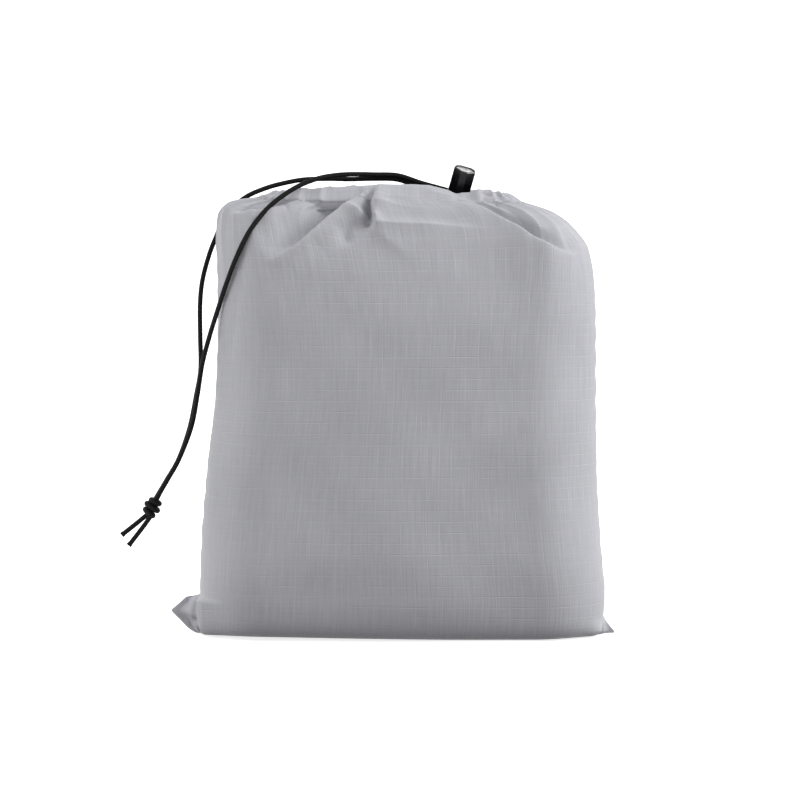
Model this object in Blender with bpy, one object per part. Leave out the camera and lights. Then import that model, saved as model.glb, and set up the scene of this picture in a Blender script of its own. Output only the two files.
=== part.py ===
"""Stuffed drawstring shoe bag with a cord and a spring cord lock. Metres, +Z up, standing on z = 0.

X runs along the bag's width, the front faces -Y. The bag is two sewn panels with a turned-in channel at
the mouth. One round cord runs in the channel, comes out at the right side seam, passes through the lock
and hangs over the left shoulder, where both strands end in one overhand knot.
"""

import math

import bmesh
import bpy
from mathutils import Matrix, Vector

# Cloth
CLOTH = 0.0012
GAP = 0.0003
SEAM_WIDTH = 0.008
SEAM_THICK = 0.0016
SEAM_GAP = 0.0004
AROUND = 24
END_SHARE = 0.25
UNDERSIDE_ROWS = 2

# Channel at the mouth
CHANNEL_HEIGHT = 0.012
CHANNEL_WALL = 0.001
CHANNEL_ROOM = 0.0037
MOUTH_LEFT = -0.072
MOUTH_RIGHT = 0.070
MOUTH_DEPTH = 0.013
MOUTH_BOW = 0.002
MOUTH_Z = (0.2678, 0.2718, 0.2662)
EXIT_SHARE = 0.89
THREAD = 0.0006

# Cord
CORD = 0.003
CORD_STEP = 0.0075
CORD_SIDES = 2

# Cord lock: the hole's centre, the cord's rise towards the left, and the lean towards the front
LOCK_HOLE = Vector((0.0405, 0.0, 0.2716))
LOCK_RISE = math.radians(15.5)
LOCK_LEAN = math.radians(28.0)
BARREL_OUTLINE = ((0.0020, -0.0044), (0.0067, -0.0010), (0.0067, 0.0012), (0.0059, 0.0031), (0.0038, 0.0043))
BARREL_TOP = 0.0187
BARREL_BOTTOM = -0.0065
BARREL_RIM = 0.0008
BARREL_RECESS = 0.0008
BORE_SCALE = (0.76, 0.70)
BORE_TOP = 0.0163
SLOT_HALF = (0.0018, 0.00345)
PLUNGER_SCALE = (0.69, 0.62)
PLUNGER_TOP = 0.0060
PLUNGER_SLOT = (-0.0066, 0.0036)
BUTTON_TOP = -0.0100
BUTTON_BOTTOM = -0.0125
BUTTON_SCALE = (0.90, 0.86)
SPRING_TURNS = 7
SPRING_RADIUS = 0.0020
SPRING_WIRE = 0.0006
SPRING_SPAN = (0.0064, 0.0159)

# Rows of the bag's outside from the floor up: left x, right x, half depth, end radius, bow of the front,
# then the height at the left seam, in the middle and at the right seam
BODY_ROWS = (
    (-0.1130, 0.1240, 0.042, 0.036, 0.001, 0.000, 0.000, 0.000),
    (-0.1180, 0.1285, 0.047, 0.039, 0.002, 0.005, 0.005, 0.004),
    (-0.1190, 0.1315, 0.050, 0.041, 0.003, 0.013, 0.013, 0.009),
    (-0.1190, 0.1320, 0.052, 0.042, 0.004, 0.025, 0.025, 0.025),
    (-0.1183, 0.1290, 0.053, 0.043, 0.005, 0.055, 0.055, 0.055),
    (-0.1143, 0.1268, 0.053, 0.044, 0.005, 0.105, 0.105, 0.105),
    (-0.1092, 0.1262, 0.051, 0.044, 0.005, 0.150, 0.150, 0.150),
    (-0.1077, 0.1261, 0.048, 0.042, 0.005, 0.190, 0.190, 0.190),
    (-0.1076, 0.1249, 0.044, 0.040, 0.004, 0.220, 0.220, 0.218),
    (-0.1082, 0.1215, 0.039, 0.037, 0.003, 0.242, 0.239, 0.238),
    (-0.1065, 0.1135, 0.033, 0.034, 0.002, 0.257, 0.251, 0.249),
    (-0.1010, 0.1030, 0.027, 0.029, 0.002, 0.265, 0.259, 0.256),
    (-0.0900, 0.0890, 0.021, 0.022, 0.002, 0.2665, 0.2635, 0.2605),
    (-0.0750, 0.0730, 0.0158, 0.0158, 0.002, 0.2611, 0.2651, 0.2595),
)
# How far the two sewn corners stick out past the sides, for the rows from the floor up
LEFT_CORNER = (0.000, 0.0040, 0.0175, 0.0030)
RIGHT_CORNER = (0.000, 0.0050, 0.0050, 0.0010)
SEAM_ROWS = slice(3, 12)

# Routes of the two free strands from the lock's left side to the knot, and of the two cut ends
STRAIGHT_RUN = 0.024
STRAND_START = 0.0070
LOOP_END = 0.0066
STRAND_A_ROUTE = (
    (0.0037, 0.0010, 0.2814),
    (-0.0112, 0.0012, 0.2820),
    (-0.0260, 0.0015, 0.2817),
    (-0.0409, 0.0030, 0.2820),
    (-0.0558, 0.0050, 0.2814),
    (-0.0708, 0.0090, 0.2786),
    (-0.0809, 0.0130, 0.2756),
    (-0.0905, 0.0175, 0.2715),
    (-0.0990, 0.0200, 0.2650),
    (-0.1058, 0.0190, 0.2570),
    (-0.1087, 0.0155, 0.2487),
    (-0.1135, 0.0100, 0.2356),
    (-0.1175, 0.0045, 0.2194),
    (-0.1188, 0.0005, 0.2040),
    (-0.1186, -0.0015, 0.1843),
    (-0.1184, -0.0026, 0.1645),
    (-0.1212, -0.0032, 0.1478),
    (-0.1253, -0.0034, 0.1280),
    (-0.1321, -0.0034, 0.1088),
    (-0.1394, -0.0034, 0.0961),
    (-0.1453, -0.0034, 0.0862),
)
STRAND_B_ROUTE = (
    (0.0037, -0.0012, 0.2839),
    (-0.0111, -0.0015, 0.2845),
    (-0.0259, -0.0030, 0.2846),
    (-0.0357, -0.0060, 0.2838),
    (-0.0454, -0.0105, 0.2818),
    (-0.0569, -0.0170, 0.2771),
    (-0.0676, -0.0245, 0.2701),
    (-0.0771, -0.0310, 0.2614),
    (-0.0866, -0.0355, 0.2487),
    (-0.0945, -0.0350, 0.2329),
    (-0.1013, -0.0285, 0.2159),
    (-0.1066, -0.0210, 0.2012),
    (-0.1120, -0.0145, 0.1852),
    (-0.1169, -0.0090, 0.1678),
    (-0.1200, -0.0068, 0.1492),
    (-0.1238, -0.0066, 0.1294),
    (-0.1313, -0.0067, 0.1096),
    (-0.1381, -0.0067, 0.0973),
    (-0.1445, -0.0066, 0.0856),
)
KNOT_CENTRE = Vector((-0.1482, -0.0050, 0.0785))
KNOT_LONG = 0.0150
KNOT_WIDE = 0.0105
KNOT_DEEP = 0.0095
KNOT_TILT = math.radians(30.0)
TAIL_A_ROUTE = ((-0.1535, -0.0034, 0.0728), (-0.1600, -0.0040, 0.0675), (-0.1668, -0.0050, 0.0621))
TAIL_B_ROUTE = ((-0.1507, -0.0066, 0.0713), (-0.1562, -0.0070, 0.0640), (-0.1622, -0.0075, 0.0562))

# Colours, linear
CLOTH_GREY = (0.36, 0.36, 0.385, 1.0)
CORD_BLACK = (0.008, 0.008, 0.009, 1.0)
LOCK_BLACK = (0.006, 0.006, 0.007, 1.0)
THREAD_GREY = (0.22, 0.22, 0.24, 1.0)
STEEL = (0.60, 0.60, 0.62, 1.0)


def clear_scene():
    for obj in list(bpy.data.objects):
        bpy.data.objects.remove(obj, do_unlink=True)


def material(name, color, roughness, metallic=0.0):
    made = bpy.data.materials.new(name)
    made.use_nodes = True
    shader = made.node_tree.nodes["Principled BSDF"]
    shader.inputs["Base Color"].default_value = color
    shader.inputs["Roughness"].default_value = roughness
    shader.inputs["Metallic"].default_value = metallic
    return made


def add_object(name, data, surface):
    obj = bpy.data.objects.new(name, data)
    data.materials.append(surface)
    bpy.context.collection.objects.link(obj)
    return obj


def mesh_object(name, corners, faces, surface, smooth=False):
    """A closed mesh. Corners that share a place become one, and faces that this flattens are dropped."""
    work = bmesh.new()
    made = [work.verts.new(corner) for corner in corners]
    for face in faces:
        work.faces.new([made[index] for index in face])
    bmesh.ops.remove_doubles(work, verts=work.verts, dist=1e-6)
    bmesh.ops.dissolve_degenerate(work, edges=work.edges, dist=1e-6)
    bmesh.ops.recalc_face_normals(work, faces=work.faces)
    data = bpy.data.meshes.new(name)
    work.to_mesh(data)
    work.free()
    if smooth:
        data.shade_smooth()
        data.set_sharp_from_angle(angle=math.radians(50))
    return add_object(name, data, surface)


def section(share, left, right, depth, radius, bow):
    """A point on the front half of a rounded outline, from the left seam (0) to the right seam (1)."""
    if share < END_SHARE:
        turn = share / END_SHARE * math.pi / 2
        return left + radius * (1 - math.cos(turn)), -depth * math.sin(turn)
    if share > 1 - END_SHARE:
        turn = (1 - share) / END_SHARE * math.pi / 2
        return right - radius * (1 - math.cos(turn)), -depth * math.sin(turn)
    along = (share - END_SHARE) / (1 - 2 * END_SHARE)
    start, end = left + radius, right - radius
    return start + (end - start) * along, -depth - bow * (1 - math.cos(2 * math.pi * along)) / 2


def level(share, left, middle, right):
    """Height along a row whose ends differ from its middle."""
    side = left if share < 0.5 else right
    return middle + (side - middle) * math.cos(math.pi * share) ** 2


def panel_grid():
    """Rows of points on the outside of the front panel, from the seam under the bag up to the channel."""
    shares = [step / AROUND for step in range(AROUND + 1)]
    rows = []
    for row in range(UNDERSIDE_ROWS):
        left, right, depth, radius, bow = BODY_ROWS[0][:5]
        flat = [section(share, left, right, depth, radius, bow) for share in shares]
        rows.append([Vector((x, y * row / UNDERSIDE_ROWS, 0.0)) for x, y in flat])
    for index, (left, right, depth, radius, bow, *heights) in enumerate(BODY_ROWS):
        points = []
        for share in shares:
            x, y = section(share, left, right, depth, radius, bow)
            points.append(Vector((x, y, level(share, *heights))))
        if index < len(LEFT_CORNER):
            points[0].x -= LEFT_CORNER[index]
            points[-1].x += RIGHT_CORNER[index]
        rows.append(points)
    return rows


def inward(rows, row, column):
    """The step from the outside to the inside of the cloth at one point of the grid."""
    below, above = rows[max(row - 1, 0)][column], rows[min(row + 1, len(rows) - 1)][column]
    if column in (0, AROUND):
        side = 1.0 if column == 0 else -1.0
        rise = above - below if row > UNDERSIDE_ROWS else Vector((-side, 0.0, 1.0))
        return Vector((side * rise.z, 0.0, -side * rise.x)).normalized() * CLOTH
    across = rows[row][column + 1] - rows[row][column - 1]
    return (above - below).cross(across).normalized() * CLOTH


def panel(name, facing, surface):
    """One sewn panel: facing is 1 for the front and -1 for the back."""
    rows = panel_grid()
    outside = [point for points in rows for point in points]
    inside = [point + inward(rows, r, c) for r, points in enumerate(rows) for c, point in enumerate(points)]
    corners = []
    for point in outside + inside:
        y = min(point.y, 0.0) - GAP / 2
        corners.append((point.x, facing * y, point.z))
    wide = AROUND + 1
    layer = len(outside)
    faces = []
    for row in range(len(rows) - 1):
        for column in range(AROUND):
            a = row * wide + column
            quad = (a, a + 1, a + wide + 1, a + wide)
            faces.append(quad)
            faces.append(tuple(layer + index for index in reversed(quad)))
    border = list(range(AROUND))
    border += [row * wide + AROUND for row in range(len(rows) - 1)]
    border += [(len(rows) - 1) * wide + column for column in range(AROUND, 0, -1)]
    border += [row * wide for row in range(len(rows) - 1, 0, -1)]
    for here, there in zip(border, border[1:] + border[:1]):
        faces.append((there, here, layer + here, layer + there))
    return mesh_object(name, corners, faces, surface, smooth=True)


def mouth_path(shares, facing):
    """Points of the channel's centre line at the mouth, with the sideways direction at each."""
    path = []
    for share in shares:
        x, y = section(share, MOUTH_LEFT, MOUTH_RIGHT, MOUTH_DEPTH, MOUTH_DEPTH, MOUTH_BOW)
        path.append(Vector((x, facing * (y - GAP / 2), level(share, *MOUTH_Z))))
    directions = []
    for index in range(len(path)):
        ahead = path[min(index + 1, len(path) - 1)] - path[max(index - 1, 0)]
        if index == 0:
            ahead = Vector((0.0, -facing, 0.0))
        directions.append(Vector((ahead.y, -ahead.x, 0.0)).normalized() * facing)
    return path, directions


def sweep(name, path, directions, rings, surface, smooth=True):
    """Upright outlines carried along a path. Each ring is a list of (out, up); a second ring is a hollow."""
    corners = []
    for centre, out in zip(path, directions):
        for ring in rings:
            corners += [centre + out * across + Vector((0, 0, up)) for across, up in ring]
    size = len(rings[0])
    stride = size * len(rings)
    faces = []
    for station in range(len(path) - 1):
        for ring in range(len(rings)):
            base = station * stride + ring * size
            for index in range(size):
                nxt = (index + 1) % size
                faces.append((base + index, base + nxt, base + stride + nxt, base + stride + index))
    for base in (0, (len(path) - 1) * stride):
        if len(rings) == 1:
            faces.append(tuple(base + index for index in range(size)))
            continue
        for index in range(size):
            nxt = (index + 1) % size
            faces.append((base + index, base + nxt, base + size + nxt, base + size + index))
    return mesh_object(name, corners, faces, surface, smooth)


def flat_oval(width, height):
    """An upright rounded outline of eight corners."""
    x, z, cut = width / 2, height / 2, width * 0.3
    quarter = [(x, z - cut), (x - cut, z)]
    mirrored = [(-a, b) for a, b in reversed(quarter)]
    top = quarter + mirrored
    return top + [(-a, -b) for a, b in top]


def casing(name, facing, surface):
    shares = [share / AROUND for share in range(AROUND + 1) if share / AROUND <= EXIT_SHARE]
    path, directions = mouth_path(shares + [EXIT_SHARE], facing)
    outer = flat_oval(CHANNEL_ROOM + 2 * CHANNEL_WALL, CHANNEL_HEIGHT)
    hollow = flat_oval(CHANNEL_ROOM, CHANNEL_HEIGHT - 2 * CHANNEL_WALL)
    return sweep(name, path, directions, (outer, hollow), surface)


def channel_stitching(name, facing, surface):
    """The thread row that closes the channel below the cord."""
    shares = [share / AROUND for share in range(1, AROUND) if share / AROUND <= EXIT_SHARE]
    path, directions = mouth_path(shares, facing)
    out = CHANNEL_ROOM / 2 + CHANNEL_WALL + GAP
    low = -CHANNEL_HEIGHT / 2 + 2 * CHANNEL_WALL
    ring = ((out, low), (out + THREAD, low), (out + THREAD, low + THREAD), (out, low + THREAD))
    return sweep(name, path, directions, (ring,), surface, smooth=False)


def side_seam(name, side, surface):
    """The two panels' edges sewn together, standing inwards along one side."""
    corners = []
    for left, right, _, _, _, low_left, _, low_right in BODY_ROWS[SEAM_ROWS]:
        edge = left + CLOTH + SEAM_GAP if side < 0 else right - CLOTH - SEAM_GAP
        height = low_left if side < 0 else low_right
        for x in (edge, edge - side * SEAM_WIDTH):
            for y in (-SEAM_THICK / 2, SEAM_THICK / 2):
                corners.append((x, y, height - 0.004))
    order = (0, 1, 3, 2)
    faces = [order, tuple(len(corners) - 4 + index for index in order)]
    for start in range(0, len(corners) - 4, 4):
        for here, there in zip(order, order[1:] + order[:1]):
            faces.append((start + here, start + there, start + 4 + there, start + 4 + here))
    return mesh_object(name, corners, faces, surface)


def block(name, low, high, surface):
    corners = [(x, y, z) for x in (low[0], high[0]) for y in (low[1], high[1]) for z in (low[2], high[2])]
    faces = ((0, 1, 3, 2), (4, 6, 7, 5), (0, 4, 5, 1), (2, 3, 7, 6), (0, 2, 6, 4), (1, 5, 7, 3))
    return mesh_object(name, corners, faces, surface)


def smooth_route(route, step):
    """Points about a step apart on a smooth curve through the route's own points."""
    points = [2 * route[0] - route[1], *route, 2 * route[-1] - route[-2]]
    fine = []
    for before, start, end, after in zip(points, points[1:], points[2:], points[3:]):
        pieces = max(1, round((end - start).length / step))
        for piece in range(pieces):
            t = piece / pieces
            forward = (end - before) / 2
            onward = (after - start) / 2
            fine.append(
                start * (2 * t**3 - 3 * t**2 + 1)
                + forward * (t**3 - 2 * t**2 + t)
                + end * (3 * t**2 - 2 * t**3)
                + onward * (t**3 - t**2)
            )
    return fine + [route[-1]]


def tube(name, points, surface, thickness=CORD):
    curve = bpy.data.curves.new(name, "CURVE")
    curve.dimensions = "3D"
    curve.bevel_depth = thickness / 2
    curve.bevel_resolution = CORD_SIDES
    curve.use_fill_caps = True
    spline = curve.splines.new("POLY")
    spline.points.add(len(points) - 1)
    for target, point in zip(spline.points, points):
        target.co = (*point, 1.0)
    return add_object(name, curve, surface)


def lock_frame():
    """The lock's own axes: X along its hole to the right, Y to the back, Z up its barrel."""
    turn = Matrix.Rotation(LOCK_RISE, 4, "Y") @ Matrix.Rotation(LOCK_LEAN, 4, "X")
    return Matrix.Translation(LOCK_HOLE) @ turn


def in_lock(x, y, z):
    return lock_frame() @ Vector((x, y, z))


def strand(name, up, route, surface):
    """A free strand from the lock's left side, straight at first, then along its route."""
    height = up * (CORD + GAP) / 2
    straight = [in_lock(-STRAND_START, 0, height), in_lock(-STRAIGHT_RUN / 2, 0, height)]
    straight.append(in_lock(-STRAIGHT_RUN, 0, height))
    return tube(name, smooth_route(straight + [Vector(point) for point in route], CORD_STEP), surface)


def drawcord_loop(name, surface):
    """The cord from the lock, into the right end of the channel, round the mouth and back to the lock."""
    high, low = (CORD + GAP) / 2, -(CORD + GAP) / 2
    shares = [share / AROUND for share in range(AROUND + 1) if share / AROUND <= EXIT_SHARE]
    front, _ = mouth_path(shares, 1)
    back, _ = mouth_path(shares, -1)
    seam = Vector((front[0].x, 0.0, front[0].z))
    into_front = [
        in_lock(-LOOP_END, 0, high),
        in_lock(LOOP_END, 0, high),
        in_lock(2 * LOOP_END, 0, high),
        Vector((0.0600, 0.0010, 0.2700)),
        Vector((0.0660, 0.0026, 0.2700)),
        Vector((0.0703, 0.0002, 0.2694)),
        Vector((0.0705, -0.0046, 0.2682)),
    ]
    into_back = [
        Vector((0.0705, 0.0046, 0.2662)),
        Vector((0.0703, -0.0002, 0.2657)),
        Vector((0.0660, -0.0026, 0.2655)),
        Vector((0.0600, -0.0010, 0.2657)),
        in_lock(2 * LOOP_END, 0, low),
        in_lock(LOOP_END, 0, low),
        in_lock(-LOOP_END, 0, low),
    ]
    middle = front[::-1][:-1] + [seam] + back[1:]
    entry = smooth_route(into_front + middle[:2], CORD_STEP / 2)[:-1]
    leave = smooth_route(middle[-2:] + into_back, CORD_STEP / 2)[1:]
    return tube(name, entry + middle[1:-1] + leave, surface)


def knot(name, surface):
    """The overhand knot as one closed lump."""
    work = bmesh.new()
    bmesh.ops.create_uvsphere(work, u_segments=14, v_segments=9, radius=0.5)
    shape = Matrix.Translation(KNOT_CENTRE) @ Matrix.Rotation(KNOT_TILT, 4, "Y")
    shape = shape @ Matrix.Diagonal((KNOT_WIDE, KNOT_DEEP, KNOT_LONG, 1.0))
    bmesh.ops.transform(work, matrix=shape, verts=work.verts)
    data = bpy.data.meshes.new(name)
    work.to_mesh(data)
    work.free()
    data.shade_smooth()
    return add_object(name, data, surface)


def outline(scale=(1.0, 1.0), shrink=0.0):
    """The barrel's outline, scaled, then drawn in on all sides."""
    half = [(x * scale[0], y * scale[1]) for x, y in BARREL_OUTLINE]
    whole = half + [(-x, y) for x, y in reversed(half)]
    return [(x - math.copysign(shrink, x), y - math.copysign(shrink, y)) for x, y in whole]


def prism(name, stations, surface):
    """Outlines stacked up the lock's own axis: each station is (height, outline). The last one is capped."""
    size = len(stations[0][1])
    corners = [(x, y, height) for height, ring in stations for x, y in ring]
    faces = [tuple(range(size)), tuple(len(corners) - size + index for index in range(size))]
    for station in range(len(stations) - 1):
        base = station * size
        for index in range(size):
            nxt = (index + 1) % size
            faces.append((base + index, base + nxt, base + size + nxt, base + size + index))
    obj = mesh_object(name, corners, faces, surface)
    obj.matrix_world = lock_frame()
    return obj


def cut(target, name, low, high, ring=None):
    """Takes a box, or a prism of the given outline, out of the target, both in the lock's own axes."""
    box = ((high[0], low[1]), (high[0], high[1]), (low[0], high[1]), (low[0], low[1]))
    cutter = prism(name, ((low[2], ring or box), (high[2], ring or box)), target.data.materials[0])
    cutter.hide_render = True
    cutter.display_type = "WIRE"
    boolean = target.modifiers.new(name, "BOOLEAN")
    boolean.operation = "DIFFERENCE"
    boolean.object = cutter


def barrel(name, surface):
    rim_top = BARREL_TOP - BARREL_RIM / 2
    stations = (
        (BARREL_BOTTOM, outline()),
        (rim_top, outline()),
        (BARREL_TOP, outline(shrink=BARREL_RIM / 2)),
        (BARREL_TOP, outline(shrink=BARREL_RIM)),
        (BARREL_TOP - BARREL_RECESS, outline(shrink=BARREL_RIM * 1.3)),
    )
    obj = prism(name, stations, surface)
    bore = outline(BORE_SCALE)
    cut(obj, "bore_cutter", (0, 0, BARREL_BOTTOM - 0.001), (0, 0, BORE_TOP), bore)
    half_y, half_z = SLOT_HALF
    cut(obj, "hole_cutter", (-0.008, -half_y, -half_z), (0.008, half_y, half_z))
    return obj


def plunger(name, surface):
    stem = outline(PLUNGER_SCALE)
    head = outline(BUTTON_SCALE)
    stations = (
        (BUTTON_BOTTOM, outline(BUTTON_SCALE, shrink=0.0004)),
        (BUTTON_BOTTOM + 0.0004, head),
        (BUTTON_TOP, head),
        (BUTTON_TOP, stem),
        (PLUNGER_TOP, stem),
    )
    obj = prism(name, stations, surface)
    half_y = SLOT_HALF[0]
    cut(obj, "plunger_hole_cutter", (-0.008, -half_y, PLUNGER_SLOT[0]), (0.008, half_y, PLUNGER_SLOT[1]))
    return obj


def coil_spring(name, surface):
    low, high = SPRING_SPAN
    steps = SPRING_TURNS * 10
    points = []
    for step in range(steps + 1):
        angle = 2 * math.pi * step / 10
        height = low + SPRING_WIRE / 2 + (high - low - SPRING_WIRE) * step / steps
        points.append(in_lock(SPRING_RADIUS * math.cos(angle), SPRING_RADIUS * math.sin(angle), height))
    obj = tube(name, points, surface, SPRING_WIRE)
    obj.data.bevel_resolution = 1
    return obj


def build():
    clear_scene()
    for facing, side in ((1, "front"), (-1, "back")):
        panel(f"{side}_panel", facing, material(f"{side} ripstop", CLOTH_GREY, 0.7))
        casing(f"{side}_casing", facing, material(f"{side} hem", CLOTH_GREY, 0.7))
        channel_stitching(f"casing_stitching_{side}", facing, material(f"{side} thread", THREAD_GREY, 0.6))
    side_seam("side_seam_left", -1, material("left seam cloth", CLOTH_GREY, 0.75))
    side_seam("side_seam_right", 1, material("right seam cloth", CLOTH_GREY, 0.75))
    floor_seam = CLOTH + SEAM_GAP
    half = SEAM_THICK / 2
    low, high = (-0.103, -half, floor_seam), (0.114, half, floor_seam + SEAM_WIDTH)
    block("bottom_seam", low, high, material("bottom seam cloth", CLOTH_GREY, 0.75))
    drawcord_loop("drawcord_loop", material("hidden cord", CORD_BLACK, 0.55))
    strand("drawcord_strand_a", -1, STRAND_A_ROUTE, material("cord a", CORD_BLACK, 0.55))
    strand("drawcord_strand_b", 1, STRAND_B_ROUTE, material("cord b", CORD_BLACK, 0.55))
    knot("drawcord_knot", material("cord knot", CORD_BLACK, 0.55))
    for letter, route in (("a", TAIL_A_ROUTE), ("b", TAIL_B_ROUTE)):
        points = smooth_route([Vector(point) for point in route], CORD_STEP)
        tube(f"drawcord_tail_{letter}", points, material(f"cord tail {letter}", CORD_BLACK, 0.55))
    barrel("cord_lock_barrel", material("lock barrel", LOCK_BLACK, 0.2))
    plunger("cord_lock_plunger", material("lock plunger", LOCK_BLACK, 0.25))
    coil_spring("cord_lock_spring", material("spring steel", STEEL, 0.3, 1.0))


build()
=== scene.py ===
"""Looks for the stuffed drawstring shoe bag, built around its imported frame. Metres, front faces -Y."""

import math

import bmesh
import bpy
import numpy as np
from mathutils import Matrix, Vector


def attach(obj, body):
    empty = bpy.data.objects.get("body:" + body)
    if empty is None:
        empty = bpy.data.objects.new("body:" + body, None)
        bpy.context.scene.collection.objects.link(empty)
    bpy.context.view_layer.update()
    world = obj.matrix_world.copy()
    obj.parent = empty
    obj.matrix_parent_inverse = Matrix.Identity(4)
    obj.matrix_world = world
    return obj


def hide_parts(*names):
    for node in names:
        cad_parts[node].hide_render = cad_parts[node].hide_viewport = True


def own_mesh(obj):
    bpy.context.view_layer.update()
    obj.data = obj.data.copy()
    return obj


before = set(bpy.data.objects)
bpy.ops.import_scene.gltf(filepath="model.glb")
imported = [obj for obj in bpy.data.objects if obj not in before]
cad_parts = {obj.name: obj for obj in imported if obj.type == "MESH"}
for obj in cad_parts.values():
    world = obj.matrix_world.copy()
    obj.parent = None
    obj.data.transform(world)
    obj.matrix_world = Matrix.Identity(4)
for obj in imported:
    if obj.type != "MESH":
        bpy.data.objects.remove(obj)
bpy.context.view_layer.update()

# Cloth of one panel: width between the side seams, columns and rows of the mesh
PANEL_WIDTH = 0.300
COLUMNS = 270
BODY_STEP = 0.0014
TOP_STEP = 0.0008
TOP_FROM = 0.232
END_SHARE = 0.25
FOLD_STEP = 0.0015
FOLD_END = 0.004

# Rows of the bag's outside from the seam under it up to the channel's stitching: left x, right x, half depth,
# end radius, bow of the front, then the height at the left seam, in the middle and at the right seam
BODY_ROWS = (
    (-0.1140, 0.1215, 0.0000, 0.036, 0.000, 0.0003, 0.0003, 0.0003),
    (-0.1158, 0.1240, 0.0345, 0.036, 0.001, 0.0004, 0.0004, 0.0004),
    (-0.1176, 0.1275, 0.0420, 0.038, 0.002, 0.0040, 0.0030, 0.0025),
    (-0.1188, 0.1308, 0.0474, 0.041, 0.003, 0.0120, 0.0110, 0.0090),
    (-0.1192, 0.1320, 0.0508, 0.042, 0.004, 0.0250, 0.0250, 0.0250),
    (-0.1183, 0.1295, 0.0535, 0.043, 0.005, 0.0550, 0.0550, 0.0550),
    (-0.1143, 0.1268, 0.0530, 0.044, 0.005, 0.1050, 0.1050, 0.1050),
    (-0.1092, 0.1262, 0.0510, 0.044, 0.005, 0.1500, 0.1500, 0.1500),
    (-0.1077, 0.1261, 0.0485, 0.042, 0.005, 0.1900, 0.1900, 0.1900),
    (-0.1077, 0.1249, 0.0440, 0.039, 0.004, 0.2200, 0.2200, 0.2180),
    (-0.1084, 0.1212, 0.0385, 0.035, 0.003, 0.2440, 0.2400, 0.2375),
    (-0.1068, 0.1125, 0.0315, 0.030, 0.002, 0.2590, 0.2540, 0.2500),
    (-0.0990, 0.0985, 0.0260, 0.025, 0.002, 0.2670, 0.2620, 0.2600),
    (-0.0820, 0.0805, 0.0215, 0.022, 0.002, 0.2700, 0.2682, 0.2660),
)
# The channel above the stitching, round its cord: out from the cord's line, and up from it
CHANNEL = (
    (0.0085, -0.0040),
    (0.0066, -0.0012),
    (0.0044, 0.0020),
    (0.0021, 0.0049),
    (0.0000, 0.0060),
    (-0.0019, 0.0050),
    (-0.0029, 0.0020),
    (-0.0030, -0.0020),
    (-0.0024, -0.0060),
    (-0.0004, -0.0085),
    (0.0040, -0.0090),
    (0.0068, -0.0078),
)
# How far the two lower corners stand out at the seam: height, and length out
LEFT_CORNER = (
    (0.0003, 0.0052), (0.0015, 0.0072), (0.0040, 0.0096), (0.0080, 0.0126), (0.0122, 0.0164),
    (0.0146, 0.0182), (0.0170, 0.0156), (0.0200, 0.0120), (0.0218, 0.0100), (0.0230, 0.0088), (0.0242, 0.0),
)
RIGHT_CORNER = ((0.0003, 0.0140), (0.0020, 0.0108), (0.0045, 0.0066), (0.0080, 0.0025), (0.0115, 0.0))
CORNER_SPREAD = 0.0072
CORNER_THIN = 0.88
# Humps beside a corner's seam: distance from it, width and height
CORNER_BULGE = (0.024, 0.011, 0.0048)
CORNER_CREST = (0.0078, 0.0017, 0.0030)
CORNER_CREASE = (0.0045, 0.0017, 0.0016)
CORNER_FAN = (0.009, 0.006, 0.0009)
# How far the lower edge lifts towards the left, on the front and on the back, and towards the right
EDGE_LIFT = (0.0026, 0.0020)
EDGE_LIFT_RIGHT = 0.0006
SEAM_SPREAD = 0.0016
SEAM_DIP = 0.0015
SEAM_PUCKER = 0.00028
PUCKER_RUN = 0.0085
PUCKER_FROM = 0.004
PUCKER_PERIOD = 0.0150
MOUTH_LEFT = -0.0720
MOUTH_RIGHT = 0.0700
MOUTH_DEPTH = 0.0130
MOUTH_BOW = 0.002
MOUTH_Z = (0.2678, 0.2718, 0.2662)
# How far the front hem sinks beside the lock: place across, and depth
HEM_DIP = (
    (0.0225, 0.0), (0.0290, 0.0014), (0.0345, 0.0028), (0.0394, 0.0042), (0.0432, 0.0032), (0.0485, 0.0026),
    (0.0530, 0.0009), (0.0580, 0.0),
)

CORD = 0.003
CORD_GAP = 0.0003
CORD_SIDES = 14
CORD_RING = 0.0009
BRAID_PITCH = 0.0042

LOCK_HOLE = Vector((0.0405, 0.0, 0.2716))
LOCK_RISE = math.radians(15.5)
LOCK_LEAN = math.radians(28.0)
STRAND_START = 0.0070
LOOP_END = 0.0066
EXIT_SHARE = 0.89
STRAIGHT_RUN = 0.024
BARREL_FACE = 0.0179
SPRING_TURNS = 7
SPRING_RADIUS = 0.0020
SPRING_WIRE = 0.0006
SPRING_SPAN = (0.0064, 0.0159)
STRAND_A_ROUTE = (
    (0.0037, 0.0010, 0.2814),
    (-0.0112, 0.0012, 0.2820),
    (-0.0260, 0.0015, 0.2817),
    (-0.0409, 0.0030, 0.2820),
    (-0.0558, 0.0050, 0.2814),
    (-0.0708, 0.0090, 0.2786),
    (-0.0809, 0.0130, 0.2756),
    (-0.0905, 0.0175, 0.2715),
    (-0.0990, 0.0200, 0.2650),
    (-0.1058, 0.0190, 0.2570),
    (-0.1087, 0.0155, 0.2487),
    (-0.1135, 0.0100, 0.2356),
    (-0.1175, 0.0045, 0.2194),
    (-0.1188, 0.0005, 0.2040),
    (-0.1186, -0.0015, 0.1843),
    (-0.1184, -0.0026, 0.1645),
    (-0.1212, -0.0032, 0.1478),
    (-0.1253, -0.0034, 0.1280),
    (-0.1321, -0.0034, 0.1088),
    (-0.1394, -0.0034, 0.0961),
    (-0.1442, -0.0036, 0.0880),
    (-0.1468, -0.0044, 0.0835),
)
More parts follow.
